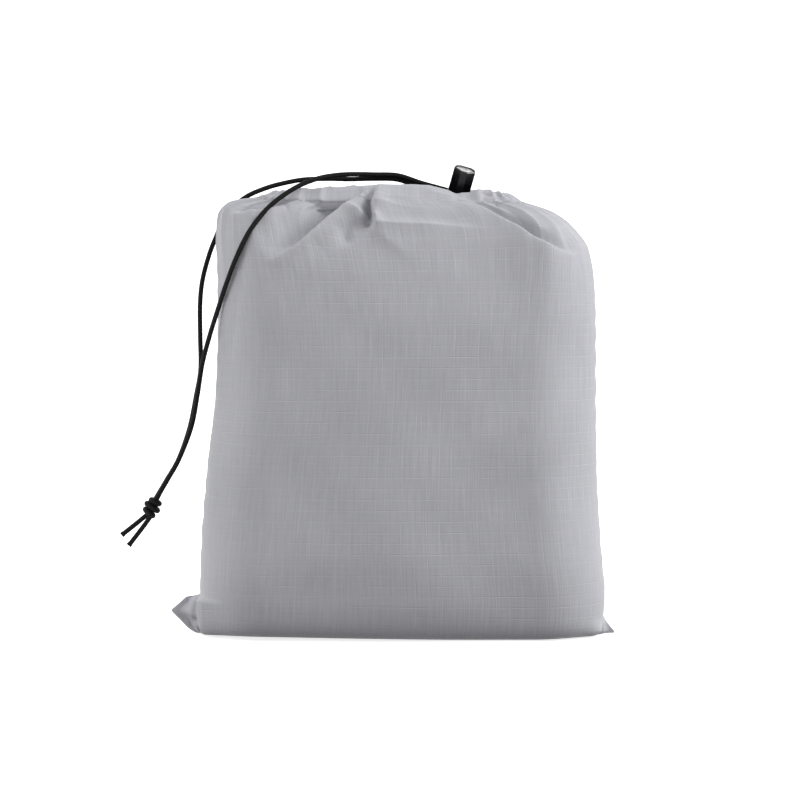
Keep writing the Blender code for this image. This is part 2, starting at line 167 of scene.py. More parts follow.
STRAND_B_ROUTE = (
    (0.0037, -0.0012, 0.2839),
    (-0.0111, -0.0015, 0.2845),
    (-0.0259, -0.0030, 0.2846),
    (-0.0357, -0.0060, 0.2838),
    (-0.0454, -0.0105, 0.2818),
    (-0.0569, -0.0170, 0.2771),
    (-0.0676, -0.0245, 0.2701),
    (-0.0771, -0.0310, 0.2614),
    (-0.0866, -0.0355, 0.2487),
    (-0.0945, -0.0350, 0.2329),
    (-0.1013, -0.0285, 0.2159),
    (-0.1066, -0.0210, 0.2012),
    (-0.1120, -0.0145, 0.1852),
    (-0.1169, -0.0090, 0.1678),
    (-0.1200, -0.0068, 0.1492),
    (-0.1238, -0.0066, 0.1294),
    (-0.1313, -0.0067, 0.1096),
    (-0.1381, -0.0067, 0.0973),
    (-0.1428, -0.0074, 0.0892),
    (-0.1455, -0.0072, 0.0840),
)
TAIL_A_ROUTE = (
    (-0.1490, -0.0040, 0.0765), (-0.1535, -0.0036, 0.0728),
    (-0.1600, -0.0040, 0.0675), (-0.1674, -0.0050, 0.0617),
)
TAIL_B_ROUTE = (
    (-0.1480, -0.0060, 0.0755), (-0.1510, -0.0066, 0.0710),
    (-0.1562, -0.0070, 0.0640), (-0.1628, -0.0075, 0.0555),
)
TAIL_FLARE = 1.22
# The melted tip widens over this stretch: where it starts and ends, back from the tail's end
TIP_RUN = (0.0022, 0.0002)
KNOT_CENTRE = Vector((-0.1484, -0.0050, 0.0791))
KNOT_TILT = math.radians(30.0)
KNOT_CORD = 0.0037
# The knot's wraps in its own axes: slant, height, half width and half depth of the cord's line
KNOT_WRAPS = (
    (-0.06, 0.0038, 0.0026, 0.0030),
    (0.08, 0.0001, 0.0038, 0.0034),
    (0.20, -0.0038, 0.0029, 0.0029),
)
# The loop's way between the lock and the channel's right end, for its upper and its lower run
LOOP_FRONT = (
    (0.0600, 0.0010, 0.2700), (0.0660, 0.0026, 0.2700), (0.0703, 0.0002, 0.2694), (0.0705, -0.0046, 0.2682),
)
LOOP_BACK = (
    (0.0705, 0.0046, 0.2662), (0.0703, -0.0002, 0.2657), (0.0660, -0.0026, 0.2655), (0.0600, -0.0010, 0.2657),
)

# Camera
LENS = 135.0
CAMERA_AWAY = 1.858
CAMERA_RISE = math.radians(2.5)
LOOK_AT = Vector((0.0049, 0.0, 0.1452))

# Lamps: place, size and power
KEY_LIGHT = ((1.6, -0.45, 1.05), (0.9, 1.2), 21.5)
FILL_LIGHT = ((-1.7, -0.25, 0.50), (0.8, 1.2), 9.0)
# Ramps, each from and to: the room's strength by height, and the floor's glow by distance
ROOM_HEIGHT, ROOM_STRENGTH = (-0.68, 0.10), (0.02, 0.73)
GLOW_DISTANCE, GLOW_STRENGTH = (0.20, 0.80), (0.72, 0.90)


def link(obj):
    bpy.context.scene.collection.objects.link(obj)
    return obj


# ---------------------------------------------------------------- numbers and curves


def eased(keys, values, at):
    """Smooth values at the given places, without overshoot between the keys."""
    keys, values = np.asarray(keys, float), np.asarray(values, float)
    steps = np.diff(keys)
    slopes = np.diff(values) / steps
    tangents = np.zeros_like(values)
    same = slopes[1:] * slopes[:-1] > 0
    both = slopes[1:] + slopes[:-1]
    tangents[1:-1] = np.where(same, 2 * slopes[1:] * slopes[:-1] / np.where(both == 0, 1, both), 0.0)
    tangents[0], tangents[-1] = slopes[0], slopes[-1]
    at = np.clip(at, keys[0], keys[-1])
    index = np.clip(np.searchsorted(keys, at, side="right") - 1, 0, len(steps) - 1)
    step = steps[index]
    t = (at - keys[index]) / step
    return (
        values[index] * (2 * t**3 - 3 * t**2 + 1)
        + step * tangents[index] * (t**3 - 2 * t**2 + t)
        + values[index + 1] * (3 * t**2 - 2 * t**3)
        + step * tangents[index + 1] * (t**3 - t**2)
    )


def rise(low, high, at):
    """0 below low, 1 above high, smooth between."""
    t = np.clip((at - low) / (high - low), 0.0, 1.0)
    return t * t * (3 - 2 * t)


def hump(at, middle, width):
    """1 at the middle, falling off smoothly to both sides."""
    return np.exp(-(((at - middle) / width) ** 2))


def smooth_route(route, step):
    """Points about a step apart on a smooth curve through the route's own points."""
    route = [Vector(point) for point in route]
    points = [2 * route[0] - route[1], *route, 2 * route[-1] - route[-2]]
    fine = []
    for before, start, end, after in zip(points, points[1:], points[2:], points[3:]):
        pieces = max(1, round((end - start).length / step))
        for piece in range(pieces):
            t = piece / pieces
            fine.append(
                start * (2 * t**3 - 3 * t**2 + 1)
                + (end - before) / 2 * (t**3 - 2 * t**2 + t)
                + end * (3 * t**2 - 2 * t**3)
                + (after - start) / 2 * (t**3 - t**2)
            )
    return fine + [route[-1]]


# ---------------------------------------------------------------- the cloth's folds


def stroke(x, z, line, heights, above, below, lean=0.0, crisp=1.6):
    """A fold along a smooth line in the front view, drawn from left to right: its height, how far it spreads
    above and below the line, and how far its crest leans over upwards. Returns height, and shifts along x
    and z."""
    fine = np.array(smooth_route([(*point, 0.0) for point in line], FOLD_STEP))[:, :2]
    marks = np.concatenate([[0.0], np.cumsum(np.hypot(*np.diff(fine, axis=0).T))])
    keys = [marks[np.argmin(np.hypot(*(fine - point).T))] for point in np.asarray(line, float)]
    ahead = np.gradient(fine, axis=0)
    ahead /= np.hypot(*ahead.T)[:, None]
    near = np.argmin((x[..., None] - fine[:, 0]) ** 2 + (z[..., None] - fine[:, 1]) ** 2, axis=-1)
    dx, dz = x - fine[near, 0], z - fine[near, 1]
    along = ahead[near, 0] * dx + ahead[near, 1] * dz
    side = ahead[near, 0] * dz - ahead[near, 1] * dx
    past = np.where((near == 0) | (near == len(fine) - 1), along, 0.0)
    tall = np.interp(marks[near] + along, keys, heights)
    off = np.hypot(side / np.where(side > 0, above, below), past / FOLD_END)
    value = tall * np.exp(-(off**crisp))
    return value, -ahead[near, 1] * value * lean, ahead[near, 0] * value * lean


# Folds in the front cloth: the line from left to right (x, z), the height at each of its points, the spread
# above and below it, and how far the crest leans upwards
FRONT_FOLDS = (
    # long ridge from the mouth down to the left, and the valley above it
    (
        ((-0.0760, 0.2295), (-0.0600, 0.2372), (-0.0470, 0.2470), (-0.0370, 0.2560), (-0.0280, 0.2637),
         (-0.0190, 0.2690), (-0.0120, 0.2735)),
        (0.0, 0.0044, 0.0070, 0.0078, 0.0066, 0.0044, 0.0022), 0.0026, 0.0125, 0.35, 1.2,
    ),
    (
        ((-0.0790, 0.2382), (-0.0620, 0.2434), (-0.0470, 0.2534), (-0.0340, 0.2644), (-0.0240, 0.2718)),
        (0.0, -0.0064, -0.0108, -0.0122, -0.0064), 0.0110, 0.0052,
    ),
    (
        ((-0.0600, 0.2290), (-0.0440, 0.2400), (-0.0320, 0.2490)),
        (0.0, -0.0030, -0.0018), 0.0060, 0.0080,
    ),
    # the pocket beside the middle pleat, its lower lip, and the curved valley under it
    (
        ((-0.0140, 0.2550), (-0.0128, 0.2620), (-0.0112, 0.2705)),
        (-0.0080, -0.0110, -0.0060), 0.0034, 0.0024,
    ),
    (
        ((-0.0290, 0.2640), (-0.0210, 0.2595), (-0.0110, 0.2562)),
        (0.0010, 0.0030, 0.0032), 0.0022, 0.0040, 0.3,
    ),
    (
        ((-0.0250, 0.2395), (-0.0268, 0.2440), (-0.0264, 0.2490), (-0.0226, 0.2524), (-0.0140, 0.2545)),
        (0.0, -0.0034, -0.0044, -0.0042, -0.0022), 0.0045, 0.0040,
    ),
    # the middle pleat's left edge, and the crease across it
    (
        ((-0.0092, 0.2535), (-0.0108, 0.2650), (-0.0085, 0.2730)),
        (0.0046, 0.0074, 0.0032), 0.0014, 0.0220, 0.25, 1.3,
    ),
    (
        ((-0.0090, 0.2510), (0.0100, 0.2515), (0.0274, 0.2508), (0.0560, 0.2478)),
        (0.0030, 0.0028, 0.0024, 0.0), 0.0020, 0.0070, 0.25, 1.3,
    ),
    (
        ((-0.0060, 0.2562), (0.0120, 0.2572), (0.0420, 0.2556)),
        (-0.0012, -0.0014, 0.0), 0.0070, 0.0035,
    ),
    (
        ((-0.0140, 0.2500), (-0.0010, 0.2425), (0.0160, 0.2300)),
        (0.0012, 0.0012, 0.0), 0.0060, 0.0040,
    ),
    # ridges and valleys over the right shoulder
    (
        ((0.0250, 0.2725), (0.0420, 0.2660), (0.0560, 0.2587), (0.0740, 0.2480), (0.0920, 0.2390),
         (0.1120, 0.2335)),
        (0.0012, 0.0034, 0.0056, 0.0070, 0.0060, 0.0), 0.0020, 0.0180, 0.35, 1.25,
    ),
    (
        ((0.0480, 0.2690), (0.0596, 0.2632), (0.0706, 0.2578), (0.0821, 0.2512), (0.0931, 0.2455),
         (0.1030, 0.2412), (0.1120, 0.2380)),
        (-0.0010, -0.0036, -0.0054, -0.0062, -0.0060, -0.0040, 0.0), 0.0050, 0.0034,
    ),
    (
        ((0.0520, 0.2676), (0.0640, 0.2632), (0.0785, 0.2570), (0.0918, 0.2512), (0.1080, 0.2440)),
        (0.0010, 0.0026, 0.0030, 0.0020, 0.0), 0.0085, 0.0026, 0.2,
    ),
    # slot and lip in the left shoulder
    (
        ((-0.0990, 0.2618), (-0.0880, 0.2632), (-0.0740, 0.2655), (-0.0560, 0.2705)),
        (0.0, -0.0068, -0.0072, -0.0010), 0.0044, 0.0018,
    ),
    (
        ((-0.0990, 0.2595), (-0.0880, 0.2606), (-0.0740, 0.2622), (-0.0560, 0.2660)),
        (0.0, 0.0020, 0.0018, 0.0010), 0.0016, 0.0080, 0.3,
    ),
    # soft creases lower down
    (
        ((-0.1003, 0.1589), (-0.0966, 0.1899), (-0.0936, 0.2142), (-0.0893, 0.2391)),
        (0.0, -0.0012, -0.0014, 0.0), 0.0030, 0.0024,
    ),
    (((0.0450, 0.1080), (0.0800, 0.1350), (0.1050, 0.1500)), (0.0, 0.0010, 0.0), 0.0100, 0.0140),
    (((0.0600, 0.0750), (0.0850, 0.0980), (0.1120, 0.1180)), (0.0, -0.0010, 0.0), 0.0120, 0.0110),
)
# Small tucks where the cloth is caught by the channel's stitches: line, and depth
FRONT_TUCKS = (
    (((-0.0656, 0.2677), (-0.0647, 0.2650)), 0.0010),
    (((-0.0383, 0.2719), (-0.0335, 0.2685), (-0.0291, 0.2647)), 0.0011),
    (((-0.0154, 0.2701), (-0.0115, 0.2659)), 0.0012),
    (((0.0523, 0.2659), (0.0545, 0.2677)), 0.0011),
    (((0.0639, 0.2647), (0.0645, 0.2683)), 0.0009),
    (((0.0592, 0.2709), (0.0638, 0.2703)), 0.0012),
    (((0.0646, 0.2712), (0.0668, 0.2684)), 0.0012),
    (((0.0650, 0.2690), (0.0676, 0.2704)), 0.0012),
    (((0.0712, 0.2686), (0.0770, 0.2676)), 0.0011),
)
TUCK_WIDTH = 0.0009
FRONT_FOLDS += tuple((line, (-depth,) * len(line), TUCK_WIDTH, TUCK_WIDTH) for line, depth in FRONT_TUCKS)
BACK_FOLDS = (
    (
        ((-0.0820, 0.2340), (-0.0640, 0.2440), (-0.0500, 0.2570), (-0.0400, 0.2700)),
        (0.0, 0.0045, 0.0055, 0.0030), 0.0030, 0.0150, 0.35,
    ),
    (
        ((-0.0800, 0.2430), (-0.0640, 0.2510), (-0.0510, 0.2640)),
        (0.0, -0.0045, -0.0040), 0.0070, 0.0050,
    ),
    (
        ((-0.0240, 0.2280), (-0.0160, 0.2480), (-0.0100, 0.2720)),
        (0.0, 0.0045, 0.0050), 0.0030, 0.0130, 0.35,
    ),
    (
        ((0.0130, 0.2750), (0.0200, 0.2560), (0.0330, 0.2360)),
        (0.0040, 0.0050, 0.0), 0.0026, 0.0120, 0.35,
    ),
    (
        ((0.0420, 0.2730), (0.0580, 0.2590), (0.0760, 0.2460), (0.0980, 0.2370)),
        (0.0030, 0.0050, 0.0045, 0.0), 0.0028, 0.0150, 0.35,
    ),
    (
        ((0.0530, 0.2700), (0.0680, 0.2600), (0.0850, 0.2500), (0.1020, 0.2440)),
        (-0.0020, -0.0045, -0.0045, 0.0), 0.0045, 0.0045,
    ),
    (((-0.0700, 0.1200), (-0.0300, 0.1500), (0.0200, 0.1620)), (0.0, 0.0014, 0.0), 0.0160, 0.0120),
    (((0.0200, 0.0900), (0.0650, 0.1150), (0.1000, 0.1250)), (0.0, -0.0012, 0.0), 0.0140, 0.0140),
)
# Gathers at the mouth: place across the panel (0 to 1), height, width and how far down the cloth they run
FRONT_GATHERS = (
    (0.030, 0.0016, 0.016, 0.030), (0.085, 0.0022, 0.020, 0.030), (0.140, 0.0012, 0.016, 0.024),
    (0.205, 0.0016, 0.020, 0.026), (0.262, 0.0014, 0.018, 0.020), (0.318, 0.0016, 0.016, 0.018),
    (0.560, 0.0006, 0.030, 0.014), (0.655, 0.0008, 0.024, 0.018), (0.730, 0.0016, 0.020, 0.026),
    (0.790, 0.0014, 0.018, 0.020), (0.850, 0.0018, 0.018, 0.024), (0.905, 0.0014, 0.016, 0.024),
    (0.962, 0.0018, 0.016, 0.030),
)
BACK_GATHERS = (
    (0.035, 0.0018, 0.016, 0.034), (0.092, 0.0020, 0.020, 0.036), (0.150, 0.0024, 0.022, 0.040),
    (0.214, 0.0018, 0.018, 0.030), (0.270, 0.0026, 0.022, 0.038), (0.338, 0.0020, 0.020, 0.034),
    (0.402, 0.0024, 0.020, 0.040), (0.470, 0.0018, 0.018, 0.030), (0.534, 0.0026, 0.024, 0.040),
    (0.602, 0.0020, 0.018, 0.034), (0.668, 0.0024, 0.022, 0.036), (0.735, 0.0018, 0.018, 0.032),
    (0.800, 0.0026, 0.022, 0.038), (0.866, 0.0018, 0.018, 0.030), (0.930, 0.0022, 0.018, 0.034),
)


def fold_shifts(x, z, folds):
    """All folds together: along the cloth's normal, along x and along z."""
    total = [np.zeros_like(x), np.zeros_like(x), np.zeros_like(x)]
    for fold in folds:
        for place, value in zip(total, stroke(x, z, *fold)):
            place += value
    return total


def gathers(share, above, places):
    """Small pleats that run down from the channel; above is the cloth's length up to the stitching."""
    total = np.zeros(np.broadcast_shapes(share.shape, above.shape))
    for place, tall, width, run in places:
        off = (share - place) / width
        profile = np.exp(-(np.abs(np.where(off > 0, off * 2.2, off)) ** 1.6))
        below = np.maximum(above, 0) / run
        total += tall * profile * (0.72 * np.exp(-(below**1.5)) + 0.28 * np.exp(-((below / 3.2) ** 1.5)))
    return total


def swell(x, z, phase):
    """Slow unevenness of cloth over soft things."""
    return (
        0.0005 * np.sin(x * 61 + z * 23 + phase)
        + 0.0004 * np.sin(x * 37 - z * 71 + 2.1 * phase)
        + 0.00015 * np.sin(x * 109 + z * 97 + 3.7 * phase)
    )


# ---------------------------------------------------------------- the panels


def section(share, left, right, depth, radius, bow):
    """Points on the front half of rounded outlines, from the left seam (0) to the right seam (1)."""
    turn_left = np.clip(share / END_SHARE, 0, 1) * math.pi / 2
    turn_right = np.clip((1 - share) / END_SHARE, 0, 1) * math.pi / 2
    along = np.clip((share - END_SHARE) / (1 - 2 * END_SHARE), 0, 1)
    middle = left + radius + (right - left - 2 * radius) * along
    x = np.where(share < END_SHARE, left + radius * (1 - np.cos(turn_left)), middle)
    x = np.where(share > 1 - END_SHARE, right - radius * (1 - np.cos(turn_right)), x)
    y = -depth * np.sin(np.minimum(turn_left, turn_right)) - bow * (1 - np.cos(2 * math.pi * along)) / 2
    return x, y


def row_lengths():
    """The cloth's length up the middle of a panel at each of the rows."""
    total, lengths = 0.0, [0.0]
    for low, high in zip(BODY_ROWS, BODY_ROWS[1:]):
        total += math.hypot(high[2] + high[4] - low[2] - low[4], high[6] - low[6])
        lengths.append(total)
    return lengths


def pull_corners(points, share, facing):
    """Draws the cloth out into a flap at the two lower corners, and lifts the front's lower left edge."""
    x, y, z = points[..., 0], points[..., 1], points[..., 2]
    lift = EDGE_LIFT[0] if facing > 0 else EDGE_LIFT[1]
    edge = rise(0.0, 0.045, -y) * (1 - rise(0.012, 0.050, z))
    z += lift * np.clip((0.045 - x) / 0.155, 0, 1) ** 1.4 * edge
    z += EDGE_LIFT_RIGHT * rise(0.085, 0.118, x) * edge
    for corner, way, from_seam in ((LEFT_CORNER, -1, share), (RIGHT_CORNER, 1, 1 - share)):
        heights, lengths = np.array(corner).T
        out = eased(heights, lengths, z) * (z < heights[-1])
        reach = from_seam * PANEL_WIDTH
        near = np.exp(-((reach / CORNER_SPREAD) ** 1.7))
        bulge = hump(reach, *CORNER_BULGE[:2]) * np.clip(out / 0.008, 0, 1)
        x += way * (out * near + CORNER_BULGE[2] * bulge)
        thin = near * np.clip(out / 0.006, 0, 1)
        y *= 1 - CORNER_THIN * thin
        fan = np.arctan2(z - 0.012, out * near + 0.002)
        pinch = np.clip(out / 0.010, 0, 1)
        y -= CORNER_FAN[2] * np.sin(5.5 * fan + 0.9) * pinch * hump(reach, *CORNER_FAN[:2])
        crest, crease = hump(reach, *CORNER_CREST[:2]), hump(reach, *CORNER_CREASE[:2])
        y -= (CORNER_CREST[2] * crest - CORNER_CREASE[2] * crease) * pinch
        x -= way * SEAM_DIP * hump(reach, 0.0, SEAM_SPREAD) * rise(0.02, 0.04, z)
        waves = np.sin(z * 2 * math.pi / PUCKER_PERIOD + 1.3 * np.sin(z * 61))
        waves *= 0.6 + 0.4 * np.sin(z * 43 + way)
        beside = hump(reach, PUCKER_FROM, PUCKER_RUN) * rise(0.0, 0.003, reach)
        x += way * SEAM_PUCKER * waves * beside * rise(0.02, 0.04, z)


def panel_points(facing, folds, pleats, phase):
    """Grid of points of one panel from the seam under the bag over the channel to its inner edge, and each
    row's length up the cloth. Row and column counts are the same for both panels."""
    lengths = row_lengths()
    top = lengths[-1]
    body = np.arange(0, TOP_FROM, BODY_STEP)
    upper = np.arange(TOP_FROM, top, TOP_STEP)
    rows = np.concatenate([body, upper, [top]])[:, None]
    share = np.linspace(0, 1, COLUMNS + 1)[None, :]
    table = np.array(BODY_ROWS)
    left, right, depth, radius, bow, low_left, low_middle, low_right = (
        eased(lengths, table[:, column], rows) for column in range(8)
    )
    x, y = section(share, left, right, depth, radius, bow)
    ends = np.cos(math.pi * share) ** 2
    z = low_middle + np.where(share < 0.5, low_left - low_middle, low_right - low_middle) * ends

    # the channel goes from the stitching's row over to its own outline round the cord
    ring_x, ring_y = section(share, MOUTH_LEFT, MOUTH_RIGHT, MOUTH_DEPTH, MOUTH_DEPTH, MOUTH_BOW)
    end_z = np.where(share < 0.5, MOUTH_Z[0], MOUTH_Z[2])
    ring_z = MOUTH_Z[1] + (end_z - MOUTH_Z[1]) * ends
    left_turn = np.cos(np.clip(share / END_SHARE, 0, 1) * math.pi / 2)
    right_turn = np.cos(np.clip((1 - share) / END_SHARE, 0, 1) * math.pi / 2)
    out_x = np.where(share < END_SHARE, -left_turn, 0.0)
    out_x = np.where(share > 1 - END_SHARE, right_turn, out_x)
    out_y = -np.sqrt(1 - out_x**2)
    spans = [0.0, *np.cumsum([math.dist(low, high) for low, high in zip(CHANNEL, CHANNEL[1:])])]
    places = np.linspace(0, spans[-1], round(spans[-1] / TOP_STEP))[1:, None]
    out = eased(spans, [point[0] for point in CHANNEL], places)
    up = eased(spans, [point[1] for point in CHANNEL], places)
    over = rise(0.0, 0.012, places)
    x = np.concatenate([x, (ring_x + out_x * out) * over + (x[-1:] + out_x * (out - out[0])) * (1 - over)])
    y = np.concatenate([y, (ring_y + out_y * out) * over + (y[-1:] + out_y * (out - out[0])) * (1 - over)])
    z = np.concatenate([z, (ring_z + up) * over + (z[-1:] + up - up[0]) * (1 - over)])
    if facing > 0:
        marks, sinks = np.array(HEM_DIP).T
        z -= eased(marks, sinks, x) * rise(0.256, 0.273, z)
    cloth_up = np.concatenate([rows[:, 0], top + places[:, 0]])
    points = np.stack([x, y, z], -1)

    # folds push the body along its own normal, and the channel straight out and up
    across = np.gradient(points, axis=1)
    along = np.gradient(points, axis=0)
    normal = np.cross(across, along)
    normal[:, 0], normal[:, -1] = normal[:, 1], normal[:, -2]
    normal /= np.maximum(np.linalg.norm(normal, axis=-1, keepdims=True), 1e-12)
    outward = np.stack([out_x + 0 * share, out_y + 0 * share, 0.5 + 0 * share], -1)
    outward /= np.linalg.norm(outward, axis=-1, keepdims=True)
    to_top = rise(top - 0.022, top + 0.006, cloth_up)[:, None, None]
    push = normal * (1 - to_top) + outward * to_top
    push /= np.maximum(np.linalg.norm(push, axis=-1, keepdims=True), 1e-12)
    height, shift_x, shift_z = fold_shifts(x, z, folds)
    up_column = cloth_up[:, None]
    low = -0.0012 - 0.0026 * rise(-0.003, 0.003, top - up_column) - 0.0090 * rise(0.0, 0.009, top - up_column)
    height = np.maximum(height, low)
    inside = 1 - 0.75 * rise(top + 0.012, top + 0.020, up_column)
    window = rise(0.0, 0.05, np.minimum(share, 1 - share)) * inside
    height = height * window + gathers(share, top - up_column, pleats) * inside
    height += swell(x, z, phase) * rise(0.05, 0.09, up_column) * rise(0.0, 0.12, np.minimum(share, 1 - share))
    points += push * height[..., None]
    points[..., 0] += shift_x * window
    points[..., 2] += shift_z * window
    pull_corners(points, share, facing)
    points[..., 1] *= facing
    return points, cloth_up


def grid_mesh(name, points, coordinates, facing):
    """A sheet from a grid of points, with the cloth's own coordinates in metres as its UV map."""
    rows, columns = points.shape[:2]
    index = np.arange(rows * columns).reshape(rows, columns)
    quads = np.stack([index[:-1, :-1], index[:-1, 1:], index[1:, 1:], index[1:, :-1]], -1).reshape(-1, 4)
    if facing < 0:
        quads = quads[:, ::-1]
    data = bpy.data.meshes.new(name)
    data.vertices.add(rows * columns)
    data.vertices.foreach_set("co", points.reshape(-1))
    data.loops.add(quads.size)
    data.loops.foreach_set("vertex_index", quads.reshape(-1))
    data.polygons.add(len(quads))
    data.polygons.foreach_set("loop_start", np.arange(0, quads.size, 4))
    data.update(calc_edges=True)
    layer = data.uv_layers.new(name="weave")
    layer.data.foreach_set("uv", coordinates.reshape(-1, 2)[quads.reshape(-1)].reshape(-1))
    data.shade_smooth()
    data.validate()
    return link(bpy.data.objects.new(name, data))


def panel(name, facing, folds, pleats, phase):
    """One panel's sheet, with its grid of points and the row of the channel's stitching."""
    points, cloth_up = panel_points(facing, folds, pleats, phase)
    share = np.linspace(-0.5, 0.5, COLUMNS + 1) * PANEL_WIDTH
    coordinates = np.stack(np.broadcast_arrays(share[None, :], cloth_up[:, None]), -1)
    stitched = int(np.argmin(abs(cloth_up - row_lengths()[-1])))
    return grid_mesh(name, points, coordinates, -facing), points, stitched


STITCH = 0.0026
STITCH_GAP = 0.0007
PLEAT_COVER = 0.0009
PLEATS = {"front": (-0.014, 0.054), "back": (0.0, 0.008)}
THREAD = 0.00026
SEAM_WIDTH = 0.0085
STRIP_APART = 0.0004


def join_meshes(name, parts):
    """One mesh object from several (points, faces) pairs."""
    points, faces = [], []
    for part_points, part_faces in parts:
        faces += [tuple(len(points) + corner for corner in face) for face in part_faces]
        points += [tuple(point) for point in part_points]
    data = bpy.data.meshes.new(name)
    data.from_pydata(points, [], faces)
    data.shade_smooth()
    return link(bpy.data.objects.new(name, data))


def stitch_row(name, line, outward, covered):
    """Lock stitches along a line on the cloth, each dipping into it at its two ends. Between the two covered
    places across, a pleat lies over them."""
    marks = np.concatenate([[0.0], np.cumsum(np.linalg.norm(np.diff(line, axis=0), axis=1))])
    parts = []
    around = np.linspace(0, 2 * math.pi, 7)[:-1]
    for start in np.arange(0.004, marks[-1] - 0.004 - STITCH, STITCH + STITCH_GAP):
        at = np.linspace(start, start + STITCH, 6)
        spine = np.stack([np.interp(at, marks, line[:, axis]) for axis in range(3)], -1)
        lift = np.stack([np.interp(at, marks, outward[:, axis]) for axis in range(3)], -1)
        under = PLEAT_COVER * rise(covered[0], covered[0] + 0.004, spine[:, 0])
        under *= 1 - rise(covered[1] - 0.004, covered[1], spine[:, 0])
        spine += lift * (np.sin(np.linspace(0, math.pi, 6)) * 0.00036 - 0.00012 - under)[:, None]
        ahead = np.gradient(spine, axis=0)
        ahead /= np.linalg.norm(ahead, axis=1, keepdims=True)
        side = np.cross(ahead, lift)
        side /= np.linalg.norm(side, axis=1, keepdims=True)
        ring = (np.cos(around)[None, :, None] * side[:, None] + np.sin(around)[None, :, None] * lift[:, None])
        points = (spine[:, None] + ring * THREAD / 2).reshape(-1, 3)
        faces = [tuple(range(5, -1, -1)), tuple(range(30, 36))]
        for row in range(5):
            for column in range(6):
                after = (column + 1) % 6
                faces.append((row * 6 + column, row * 6 + after, row * 6 + 6 + after, row * 6 + 6 + column))
        parts.append((points, faces))
    return join_meshes(name, parts)


def seam_strip(name, line, inward):
    """Turned-in allowance along a seam: the cloth's two cut edges on each other, wavy at the free edge."""
    parts = []
    across = np.linspace(0.0004, SEAM_WIDTH, 8)
    marks = np.concatenate([[0.0], np.cumsum(np.linalg.norm(np.diff(line, axis=0), axis=1))])
    for side in (-1, 1):
        wave = 0.0006 * np.sin(marks * 240 + 0.7) + 0.0004 * np.sin(marks * 97)
        grid = line[:, None] + inward[:, None] * across[None, :, None]
        grid[..., 1] += side * STRIP_APART + wave[:, None] * (across / SEAM_WIDTH)[None, :] ** 2
        rows, columns = grid.shape[:2]
        faces = [
            (row * columns + column, row * columns + column + 1, (row + 1) * columns + column + 1,
             (row + 1) * columns + column)
            for row in range(rows - 1)
            for column in range(columns - 1)
        ]
        parts.append((grid.reshape(-1, 3), faces))
    obj = join_meshes(name, parts)
    layer = obj.data.uv_layers.new(name="weave")
    corners = np.empty(len(obj.data.loops), int)
    obj.data.loops.foreach_get("vertex_index", corners)
    place = np.stack([np.tile(np.tile(across, len(line)), 2), np.tile(np.repeat(marks, len(across)), 2)], -1)
    layer.data.foreach_set("uv", place[corners].reshape(-1))
    return obj


# ---------------------------------------------------------------- cord, knot and lock


def lock_frame():
    """The lock's own axes: X along its hole to the right, Y to the back, Z up its barrel."""
    turn = Matrix.Rotation(LOCK_RISE, 4, "Y") @ Matrix.Rotation(LOCK_LEAN, 4, "X")
    return Matrix.Translation(LOCK_HOLE) @ turn


def in_lock(x, y, z):
    return lock_frame() @ Vector((x, y, z))


def tube(name, points, thickness=CORD, sides=CORD_SIDES, flare=1.0):
    """A round tube along points, its UV map in metres along and turns around. flare widens its far tip."""
    points = np.array([tuple(point) for point in points])
    ahead = np.gradient(points, axis=0)
    ahead /= np.linalg.norm(ahead, axis=1, keepdims=True)
    side = np.cross(ahead[0], (0.3, 1.0, 0.2))
    side /= np.linalg.norm(side)
    travelled = np.concatenate([[0.0], np.cumsum(np.linalg.norm(np.diff(points, axis=0), axis=1))])
    rings, coordinates = [], []
    around = np.linspace(0, 2 * math.pi, sides + 1)
    for place, direction, far in zip(points, ahead, travelled):
        side = side - direction * np.dot(side, direction)
        side /= np.linalg.norm(side)
        other = np.cross(direction, side)
        at_tip = rise(travelled[-1] - TIP_RUN[0], travelled[-1] - TIP_RUN[1], far)
        radius = thickness / 2 * (1 + (flare - 1) * at_tip)
        rings.append(place + radius * (np.cos(around)[:, None] * side + np.sin(around)[:, None] * other))
        coordinates.append(np.stack([around / (2 * math.pi), np.full(sides + 1, far)], -1))
    obj = grid_mesh(name, np.array(rings), np.array(coordinates), 1)
    work = bmesh.new()
    work.from_mesh(obj.data)
    bmesh.ops.remove_doubles(work, verts=work.verts, dist=1e-7)
    border = [edge for edge in work.edges if edge.is_boundary]
    bmesh.ops.holes_fill(work, edges=border, sides=0)
    bmesh.ops.recalc_face_normals(work, faces=work.faces)
    work.to_mesh(obj.data)
    work.free()
    return obj


def knot_turns():
    """The lines of the knot's slanting wraps, one after another down the cord."""
    turn = Matrix.Rotation(KNOT_TILT, 3, "Y")
    lines = []
    for slant, rest, wide, deep in KNOT_WRAPS:
        points = []
        for angle in np.linspace(0, 2 * math.pi, 33):
            across = wide * math.cos(angle)
            place = Vector((across, -deep * math.sin(angle), rest - slant * across))
            points.append(KNOT_CENTRE + turn @ place)
        lines.append(points)
    return lines


def knot(name):
    """The knot's pulled-tight wraps, as one piece: closed rings that stand in for an overhand knot."""
    rings = [tube(f"{name}_turn_{index}", points, KNOT_CORD) for index, points in enumerate(knot_turns())]
    work = bmesh.new()
    for ring in rings:
        work.from_mesh(ring.data)
        bpy.data.objects.remove(ring, do_unlink=True)
    data = bpy.data.meshes.new(name)
    work.to_mesh(data)
    work.free()
    return link(bpy.data.objects.new(name, data))


